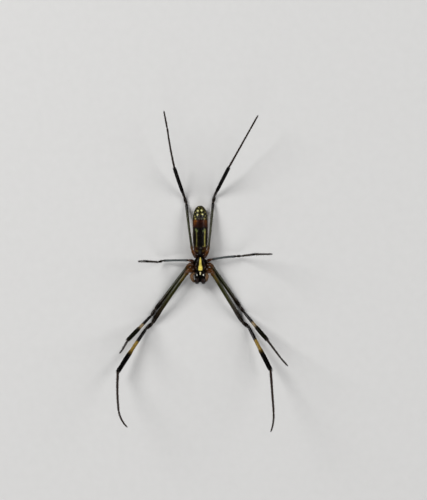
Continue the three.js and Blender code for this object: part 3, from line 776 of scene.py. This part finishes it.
def belly_paint(x, y):
    """The abdomen's underside, from the waist towards the tail."""
    aside = np.abs(x)
    flank = smoothstep(0.72, 0.98, aside / ABDOMEN_HALF_WIDTH) * band(0, 9, 0.6, y)
    colour = mix(BLACK, linear(0.2, 0.14, 0.06), 0.55 * flank)
    # Around the book lungs: brown and olive with rust sides
    lungs = band(0.2, 3.1, 0.35, y) * smoothstep(0.15, 0.5, aside / ABDOMEN_HALF_WIDTH)
    colour = mix(colour, linear(0.18, 0.1, 0.045), 0.85 * lungs)
    colour = mix(colour, linear(0.4, 0.25, 0.09), 0.7 * spot(aside, y, (1.75, 1.5), (0.35, 1.1), 0.6))
    colour = mix(colour, linear(0.36, 0.3, 0.13), 0.7 * spot(aside, y, (1.1, 1.6), (0.5, 0.2), 0.6))
    # Painted highlights: a grey gleam on the epigyne and white glints on the coxae of the rear legs, painted
    # onto the belly
    colour = mix(colour, linear(0.62, 0.62, 0.6), 0.8 * spot(x, y, (0.1, 2.5), (0.26, 0.13), 0.5))
    colour = mix(colour, GLINT_WHITE, 0.75 * spot(aside, y, (1.15, 0.45), (0.26, 0.16), 0.5))
    # Yellow bars, faint on the left, with hooks at the front and splayed spots at the back
    bar_x = np.where(x < 0, 1.16, 1.46) + 0.05 * np.sin(y * 0.9)
    bar = band(3.0, 8.5, 0.2, y) * (1 - smoothstep(0.1, 0.26, np.abs(aside - bar_x)))
    left_dim = np.where(x < 0, 0.28, 1.0)
    colour = mix(colour, BAR_YELLOW, bar * left_dim * (0.75 + 0.25 * np.sin(y * 2.3) ** 2))
    hook = spot(aside, y, (1.1, 3.05), (0.36, 0.16), 0.5)
    colour = mix(colour, BAR_YELLOW, 0.4 * hook * left_dim)
    splay = spot(aside, y, (1.4, 8.35), (0.24, 0.42), 0.5)
    splay = np.maximum(splay, spot(aside, y, (1.0, 7.9), (0.26, 0.34), 0.5))
    colour = mix(colour, linear(0.42, 0.46, 0.27), 0.6 * splay)
    # Rust band, with brighter sides
    colour = mix(colour, linear(0.18, 0.07, 0.04), 0.9 * band(9.2, 11.6, 0.4, y))
    colour = mix(colour, linear(0.3, 0.16, 0.04), 0.8 * spot(aside, y, (1.6, 10.8), (0.6, 0.85), 0.6))
    colour = mix(colour, linear(0.07, 0.03, 0.02), 0.75 * spot(x, y, (0, 9.9), (0.8, 0.9), 0.8))
    streaks = spot(aside, y, (1.35, 11.1), (0.5, 0.3), 0.7)
    streaks += 0.6 * spot(aside, y, (1.95, 10.2), (0.25, 0.8), 0.7)
    colour = mix(colour, linear(0.5, 0.28, 0.06), 0.6 * streaks * (0.6 + 0.4 * np.sin(3.1 * x + 2.3 * y)))
    # Tail: mottled olive with pale spots
    tail = smoothstep(11.3, 12.0, y)
    colour = mix(colour, linear(0.09, 0.085, 0.025), tail)
    mottle = np.sin(x * 6.1 + 1.3) * np.sin(y * 5.3) + 0.6 * np.sin(x * 11 + y * 7)
    colour = mix(colour, linear(0.44, 0.42, 0.18), 0.65 * tail * smoothstep(0.4, 1.1, mottle))
    for tone, spots in ((SPOT_YELLOW, YELLOW_SPOTS), (SPOT_TAN, TAN_SPOTS)):
        for spot_x, spot_y, radius in spots:
            colour = mix(colour, tone, 0.95 * spot(x, y, (spot_x, spot_y), radius))
    return colour


def back_paint(x, y):
    """The abdomen's back: brown-orange with pairs of pale spots and a pale band at the front."""
    aside = np.abs(x)
    middle = smoothstep(0.9, 0.2, aside / ABDOMEN_HALF_WIDTH)
    colour = mix(linear(0.46, 0.33, 0.14), linear(0.56, 0.45, 0.22), 0.6 * middle)
    colour = mix(colour, linear(0.86, 0.84, 0.68), 0.85 * band(1.3, 1.9, 0.12, y + 0.12 * x * x))
    colour = mix(colour, linear(0.3, 0.2, 0.09), 0.6 * band(2.1, 2.5, 0.2, y + 0.12 * x * x))
    veins = np.sin(y * 4.2 + 2.2 * aside) * np.sin(x * 5.5 + 0.8 * np.sin(y * 1.7))
    colour = mix(colour, linear(0.34, 0.24, 0.1), 0.45 * smoothstep(0.3, 0.95, veins))
    for i, y_spot in enumerate(BACK_SPOT_ROWS):
        for side, _ in SIDES:
            shift = 0.14 * math.sin(7.3 * i + 2.1 * side)
            size = 0.2 - 0.014 * i + 0.04 * math.sin(5.1 * i + side)
            x_spot = side * (0.9 - 0.05 * i) + 0.5 * shift
            near = spot(x, y, (x_spot, y_spot + shift), (size, 1.45 * size), 0.6)
            outer = spot(x, y, (side * (1.62 - 0.08 * i), y_spot + 0.85 - shift), (0.55 * size, size), 0.7)
            colour = mix(colour, linear(0.86, 0.82, 0.58), 0.72 * near)
            colour = mix(colour, linear(0.78, 0.72, 0.44), 0.5 * outer)
    return colour


def abdomen_paint(points):
    x, y, z = np.moveaxis(points, -1, 0)
    up = smoothstep(ABDOMEN_LEVEL - 0.9, ABDOMEN_LEVEL + 0.5, z)
    return mix(back_paint(x, y), belly_paint(x, y), up)


def build_abdomen():
    rings = body_rings(ABDOMEN_STATIONS, 0.0, ABDOMEN_LEVEL, rings=260, sides=160)
    x, y, z = np.moveaxis(rings, -1, 0)
    relief = 0.012 * grain(rings * 2.4, 3) + 0.006 * grain(rings * 7, 4)
    relief -= 0.05 * band(2.75, 2.95, 0.12, y) * (z > ABDOMEN_LEVEL) * (np.abs(x) < 1.7)
    for y_dimple in (4.6, 6.6, 8.6):
        relief -= 0.05 * spot(np.abs(x), y, (0.62, y_dimple), 0.16, 0.6)
    relief += 0.012 * np.sin(y * 9) * smoothstep(11.5, 13.5, y)
    relief *= smoothstep(0.4, 1.4, y) * (1 - smoothstep(15.3, 15.9, y))
    surface = Surface(rings + outwards(rings, ABDOMEN_LEVEL) * relief[..., None], abdomen_paint(rings))
    surface.points[..., 2] = np.maximum(surface.points[..., 2], FLOOR_CLEAR)
    made = surface.build("abdomen_skin", SOFT_SKIN)
    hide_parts("abdomen")
    roots = [surface.sample(HAIRS["abdomen"])]
    coat = hairs("abdomen_hair", roots, BRISTLE, 0.4, 0.009, 0.35, tint=0.9)


def carapace_paint(points):
    x, y, z = np.moveaxis(points, -1, 0)
    colour = mix(linear(0.3, 0.27, 0.22), linear(0.16, 0.11, 0.08), smoothstep(0.9, 1.1, np.abs(x) / 2.3))
    dark = np.maximum(smoothstep(-7.2, -8.0, y), smoothstep(CARAPACE_LEVEL - 0.3, CARAPACE_LEVEL, z))
    return mix(colour, BLACK, dark)


def build_carapace():
    rings = body_rings(CARAPACE_STATIONS, 0.0, CARAPACE_LEVEL, rings=150, sides=120)
    x, y, z = np.moveaxis(rings, -1, 0)
    down = smoothstep(CARAPACE_LEVEL, CARAPACE_LEVEL - 0.8, z)
    relief = 0.02 * grain(rings * 2.2, 8)
    # The groove between head and thorax, the pit in the thorax and the grooves that run out to the legs
    groove = np.exp(-(((np.abs(x) * 0.9 + y + 5.0) / 0.22) ** 2)) * (np.abs(x) > 0.25)
    relief -= 0.1 * groove * down
    relief -= 0.22 * spot(x, y, (0, -3.1), (0.35, 0.45), 0.6) * down
    for ray_y, slope in ((-2.6, 0.35), (-3.2, -0.1), (-3.9, -0.45)):
        ray = np.exp(-(((y - ray_y - slope * np.abs(x)) / 0.16) ** 2)) * smoothstep(0.4, 0.9, np.abs(x))
        relief -= 0.05 * ray * down
    relief += 0.16 * spot(np.abs(x), y, (0.55, -4.3), (0.2, 0.22), 0.7) * down
    rings = rings + outwards(rings, CARAPACE_LEVEL) * relief[..., None] * down[..., None]
    rings[..., 2] = np.maximum(rings[..., 2], FLOOR_CLEAR)
    surface = Surface(rings, carapace_paint(rings))
    made = surface.build("carapace_skin", SHELL)
    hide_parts("carapace")
    # Silver hair on the back, and dark bristles on the face
    _, y, z = np.moveaxis(surface.points, -1, 0)
    on_back = (z < CARAPACE_LEVEL - 0.25) & (y > -7.4)
    points, normals, lie, paint, uv = surface.sample(HAIRS["carapace"], on_back)
    roots = [(points, normals, lie, np.broadcast_to(SILVER, paint.shape), uv)]
    coat = hairs("carapace_hair", roots, SILVER_HAIR, 0.42, 0.016, 0.2, sink=0.03)
    roots = [surface.sample(HAIRS["face"], y < -6.2)]
    front = hairs("face_hair", roots, BRISTLE, 0.4, 0.012, 0.6)
    build_eyes()


def ball(centre, radii, rings=18, sides=24):
    """A round or oval ball as rings of points, all but closed at its poles."""
    angles = np.linspace(-math.pi / 2 + 0.02, math.pi / 2 - 0.02, rings)
    middle = np.sin(angles)[:, None] * (0, 0, 1)
    return np.array(centre) + circle(middle, (1, 0, 0), (0, 1, 0), np.cos(angles), sides) * np.array(radii)


EYE_RADIUS = 0.17
# Each pair of eyes: half the distance between the two, Y and height
EYE_PAIRS = [(0.27, -7.97, 0.62), (0.3, -7.62, 0.22), (0.98, -7.78, 0.78), (1.12, -7.42, 0.58)]


def build_eyes():
    for pair, (x, y, z) in enumerate(EYE_PAIRS):
        for side, word in SIDES:
            eye = Surface(ball((side * x, y, z), EYE_RADIUS), linear(0.05, 0.04, 0.04))
            made = eye.build(f"eye_{pair + 1}_{word}", EYE_GLASS)


def sternum_paint(points):
    x, y, _ = np.moveaxis(points, -1, 0)
    colour = mix(linear(0.07, 0.045, 0.025), RUST_DARK, 0.5 * smoothstep(1.1, 1.8, np.abs(x)))
    half = through(*STERNUM_STRIPE, y.ravel()).reshape(y.shape)
    stripe = 1 - smoothstep(half - 0.07, half + 0.05, np.abs(x - 0.05))
    return mix(colour, STERNUM_YELLOW, stripe * (0.85 + 0.15 * np.sin(y * 4) ** 2))


def build_sternum():
    rings = body_rings(STERNUM_STATIONS, 0.0, STERNUM_LEVEL, rings=140, sides=140)
    x, y, z = np.moveaxis(rings, -1, 0)
    up = smoothstep(STERNUM_LEVEL, STERNUM_LEVEL + 0.3, z)
    relief = 0.01 * grain(rings * 4, 5)
    for place_x, place_y in ((1.2, -3.95), (1.3, -2.9), (1.1, -1.9)):
        relief += 0.1 * spot(np.abs(x), y, (place_x, place_y), 0.32, 0.7)
    relief += 0.08 * spot(x, y, (0, -4.2), (0.5, 0.35), 0.7)
    rings[..., 2] += relief * up
    surface = Surface(rings, sternum_paint(rings))
    made = surface.build("sternum_skin", SHELL)
    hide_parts("sternum")
    roots = [surface.sample(HAIRS["sternum"], up)]
    coat = hairs("sternum_hair", roots, BRISTLE, 0.35, 0.011, 0.5, tint=0.8)


build_abdomen()
build_carapace()
build_sternum()

# Mouth parts
LABIUM_STATIONS = [
    (-4.9, 0.1, 0.1, 0.1),
    (-4.95, 0.34, 0.22, 0.22),
    (-5.3, 0.42, 0.32, 0.4),
    (-5.8, 0.36, 0.32, 0.42),
    (-6.1, 0.2, 0.22, 0.24),
    (-6.14, 0.05, 0.08, 0.08),
]
ENDITE_X = 1.24
ENDITE_STATIONS = [
    (-4.92, 0.08, 0.08, 0.08),
    (-4.95, 0.28, 0.26, 0.28),
    (-5.35, 0.42, 0.36, 0.5),
    (-5.95, 0.46, 0.36, 0.56),
    (-6.3, 0.42, 0.34, 0.44),
    (-6.5, 0.22, 0.22, 0.24),
    (-6.53, 0.06, 0.06, 0.06),
]
CHELICERA_X = 0.97
CHELICERA_SPLAY = 0.06
# Jaws stand upright, as stations of [height, half width, half depth, Y of the middle]
CHELICERA_STATIONS = [
    (1.25, 0.5, 0.6, -7.55),
    (1.7, 0.72, 0.92, -7.65),
    (2.6, 0.79, 1.06, -7.85),
    (3.5, 0.74, 1.0, -7.9),
    (4.1, 0.55, 0.76, -7.86),
    (4.4, 0.26, 0.4, -7.8),
    (4.45, 0.08, 0.12, -7.8),
]
# The right fang, from its root in the jaw to its tip
FANG_LINE = [(0.97, -8.15, 4.2), (0.91, -7.93, 4.5), (0.79, -7.6, 4.54), (0.65, -7.3, 4.3)]
FANG_RADII = (0.22, 0.2, 0.14, 0.04)
# The left palp, from its root to its tip
PALP_LINE = [
    (-1.45, -5.3, 2.95),
    (-2.2, -5.55, 2.85),
    (-2.6, -6.1, 2.85),
    (-2.64, -6.8, 2.9),
    (-2.35, -7.6, 3.05),
    (-1.85, -8.3, 3.3),
]
PALP_RADII = (0.3, 0.42, 0.54, 0.56, 0.48, 0.3)
PALP_RIGHT_SPREAD = 0.8
# Where along it the palp is pinched
PALP_JOINTS = (0.16, 0.36, 0.5, 0.7)
PALP_RINGS = 90


def tube(line, radii, paint, rings, sides):
    """A round tube through the points of a line, with its far end rounded."""
    steps = np.linspace(0, 1, rings)
    centre = evenly(line, steps)
    facing = unit(np.gradient(centre, axis=0))
    radius = evenly(radii, steps)[:, 0]
    radius = radius * np.sqrt(np.clip(1 - ((steps - 0.93) / 0.0705).clip(0, 1) ** 2, 0.02, 1))
    side = unit(np.cross(facing, (0.02, 0.05, 1.0)))
    return Surface(circle(centre, side, np.cross(side, facing), radius, sides), paint)


def build_mouth():
    rings = body_rings(LABIUM_STATIONS, 0.0, STERNUM_LEVEL, rings=50, sides=48)
    x, y, _ = np.moveaxis(rings, -1, 0)
    stripe = (1 - smoothstep(0.12, 0.24, np.abs(x - 0.03))) * band(-5.95, -5.05, 0.1, y)
    labium = Surface(rings, mix(BLACK, CREAM, stripe))
    made = labium.build("labium_skin", HORN)
    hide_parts("labium")
    roots = []
    for side, word in SIDES:
        rings = body_rings(ENDITE_STATIONS, side * ENDITE_X, STERNUM_LEVEL, rings=50, sides=48)
        x, y, _ = np.moveaxis(rings, -1, 0)
        # Painted highlight: a white glint near the front of each endite
        pale = spot(x * side, y, (1.02, -6.05), (0.17, 0.27), 0.45)
        endite = Surface(rings, mix(linear(0.08, 0.05, 0.035), GLINT_WHITE, 0.9 * pale))
        made = endite.build(f"endite_{word}_skin", HORN)
        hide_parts(f"endite_{word}")
        roots.append(endite.sample(HAIRS["endite"]))
        roots.append(build_chelicera(side, word))
        build_palp(side, word)
    made = hairs("mouth_hair", roots, BRISTLE, 0.4, 0.012, 0.6)


def build_chelicera(side, word):
    stations = np.array(CHELICERA_STATIONS)
    z = np.linspace(stations[0, 0], stations[-1, 0], 60)
    half_width, half_depth, y = through(stations[:, 0], stations[:, 1:], z).T
    x = side * (CHELICERA_X + CHELICERA_SPLAY * (z - z[0]) / (z[-1] - z[0]))
    middle = np.stack([x, y, z], -1)
    rings = circle(middle, half_width[:, None] * (1, 0, 0), half_depth[:, None] * (0, 1, 0), 1.0, sides=48)
    jaw = Surface(rings, linear(0.1, 0.075, 0.065))
    made = jaw.build(f"chelicera_{word}_skin", HORN)
    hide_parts(f"chelicera_{word}")
    line = [(side * x, y, z) for x, y, z in FANG_LINE]
    fang = tube(line, FANG_RADII, linear(0.14, 0.05, 0.035), rings=24, sides=16)
    made = fang.build(f"fang_{word}", HORN)
    return jaw.sample(HAIRS["jaw"])


def build_palp(side, word):
    spread = 1 if side < 0 else PALP_RIGHT_SPREAD
    line = [(-side * x * spread, y, z) for x, y, z in PALP_LINE]
    palp = tube(line, PALP_RADII, linear(0.42, 0.3, 0.17), PALP_RINGS, sides=24)
    t = np.linspace(0, 1, PALP_RINGS)[:, None]
    pinch = sum(np.exp(-(((t - joint) / 0.018) ** 2)) for joint in PALP_JOINTS)
    centre = palp.points.mean(1, keepdims=True)
    palp.points = centre + (palp.points - centre) * (1 - 0.16 * pinch)[..., None]
    shade = np.broadcast_to(smoothstep(0.55, 1.0, t), palp.points.shape[:2])
    palp.paint = mix(palp.paint, BROWN_BLACK, 0.6 * shade)
    made = palp.build(f"palp_{word}_skin", AMBER)
    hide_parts(f"palp_{word}")
    roots = [palp.sample(HAIRS["palp"])]
    coat = hairs(f"palp_{word}_hair", roots, BRISTLE, 0.4, 0.012, 0.6, tint=0.7)


# Spinnerets on a low mound of [height, radius], each pair with its X, Y, length, radius and lean to the tail
SPINNERET_Y = 12.3
SPINNERET_TOP = 4.75
SPINNERET_MOUND = [(0.0, 1.0), (0.25, 0.98), (0.42, 0.8), (0.52, 0.4), (0.54, 0.1)]
SPINNERET_PAIRS = [
    (0.46, 11.8, 0.72, 0.33, 0.16),
    (0.42, 12.78, 0.6, 0.3, 0.3),
    (0.26, 12.3, 0.42, 0.25, 0.1),
]
# The waist is flattened: this much wider than it is deep
WAIST_SPREAD = 1.95
WAIST_LINE = [(0, -1.1, 1.85), (0, -0.2, 1.9), (0, 0.9, 1.9)]
WAIST_RADII = (0.6, 0.56, 0.6)


def build_waist():
    stalk = tube(WAIST_LINE, WAIST_RADII, linear(0.17, 0.085, 0.045), rings=24, sides=24)
    stalk.points[..., 0] *= WAIST_SPREAD
    made = stalk.build("pedicel_skin", HORN)
    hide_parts("pedicel")


def build_spinnerets():
    heights, widths = np.array(SPINNERET_MOUND).T
    rise = np.linspace(0, heights[-1], 30)
    width = through(heights, widths, rise)[:, 0]
    middle = np.array([0, SPINNERET_Y, SPINNERET_TOP - 0.62]) + rise[:, None] * (0, 0, 1)
    rings = circle(middle, (1, 0, 0), (0, 1, 0), width, sides=40)
    front = rings[..., 1] < SPINNERET_Y
    cones = [Surface(rings, mix(linear(0.16, 0.14, 0.08), BLACK, 0.5 * front))]
    for x_pair, y_pair, length, radius, lean in SPINNERET_PAIRS:
        for side, _ in SIDES:
            foot = np.array([side * x_pair, y_pair, SPINNERET_TOP - 0.3])
            direction = unit(np.array([-side * 0.18, lean, 1.0]))
            line = [foot, foot + direction * length * 0.5, foot + direction * (length + 0.33)]
            grey = mix(SPINNERET_GREY, BLACK, 0.25 if y_pair < SPINNERET_Y else 0.6)
            cones.append(tube(line, (radius, radius * 0.96, radius * 0.55), grey, rings=24, sides=20))
    made = joined("spinnerets_skin", cones, AMBER)
    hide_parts("spinnerets")
    roots = [cone.sample(HAIRS["spinneret"]) for cone in cones[1:]]
    coat = hairs("spinneret_hair", roots, BRISTLE, 0.25, 0.01, 0.5, tint=0.8)
    # The plate of the epigyne, on the belly behind the waist
    plate = Surface(ball((0, 2.45, 4.12), (0.36, 0.3, 0.38)), linear(0.2, 0.17, 0.14))
    made = plate.build("epigyne_plate", HORN)


build_mouth()
build_waist()
build_spinnerets()


# Floor, light and camera

FLOOR_REACH = 1.2
# The floor's two pale greys, mixed by a fine noise
FLOOR_GREYS = ((0.57, 0.565, 0.555, 1), (0.6, 0.595, 0.585, 1))
DAYLIGHT = (0.93, 0.95, 1.0, 1)
# Each light: its place, its size and its power
LIGHTS = {
    "key": ((-0.6, 0.4, 0.55), 0.4, 7.2),
    "fill": ((0.65, 0.2, 0.5), 0.5, 4.2),
    "low": ((-0.1, -0.7, 0.5), 0.5, 3.2),
}


def build_floor():
    mesh = bpy.data.meshes.new("floor")
    corners = [(x * FLOOR_REACH, y * FLOOR_REACH, 0) for x, y in ((-1, -1), (1, -1), (1, 1), (-1, 1))]
    mesh.from_pydata(corners, [], [(0, 1, 2, 3)])
    floor = add_object("floor", mesh)
    material = bpy.data.materials.new("floor_paper")
    material.use_nodes = True
    shader = set_sockets(material.node_tree.nodes["Principled BSDF"], {"Roughness": 0.9})
    noise = add_node(material, "TexNoise", {"Scale": 900})
    ramp = add_node(material, "ValToRGB", {})
    for stop, grey in zip(ramp.color_ramp.elements, FLOOR_GREYS):
        stop.color = grey
    link(noise, "Fac", ramp, "Fac")
    link(ramp, "Color", shader, "Base Color")
    mesh.materials.append(material)


def add_light(name, place_at, size, energy):
    data = bpy.data.lights.new(name, "AREA")
    data.size = size
    data.energy = energy
    light = add_object(name, data)
    light.location = place_at
    light.rotation_euler = Vector(-np.array(place_at)).to_track_quat("-Z", "Y").to_euler()


def build_light():
    world = bpy.data.worlds.new("studio")
    bpy.context.scene.world = world
    world.use_nodes = True
    set_sockets(world.node_tree.nodes["Background"], {"Color": DAYLIGHT, "Strength": 0.11})
    for name, (place_at, size, energy) in LIGHTS.items():
        add_light(name, place_at, size, energy)


def build_camera():
    data = bpy.data.cameras.new("camera")
    data.sensor_width = SENSOR
    data.lens = SENSOR * (CAMERA_DISTANCE / (PHOTO_HEIGHT * MM_PER_PIXEL * MM))
    data.clip_end = 10
    camera = add_object("camera", data)
    x = (PHOTO_WIDTH / 2 - WAIST_PIXEL[0]) * MM_PER_PIXEL
    y = (WAIST_PIXEL[1] - PHOTO_HEIGHT / 2) * MM_PER_PIXEL
    camera.location = tuple(place((x, y, BODY_HEIGHT)) + np.array([0, 0, CAMERA_DISTANCE]))
    bpy.context.scene.camera = camera


build_floor()
build_light()
build_camera()
bpy.context.scene.view_settings.view_transform = "Standard"

bpy.context.view_layer.update()
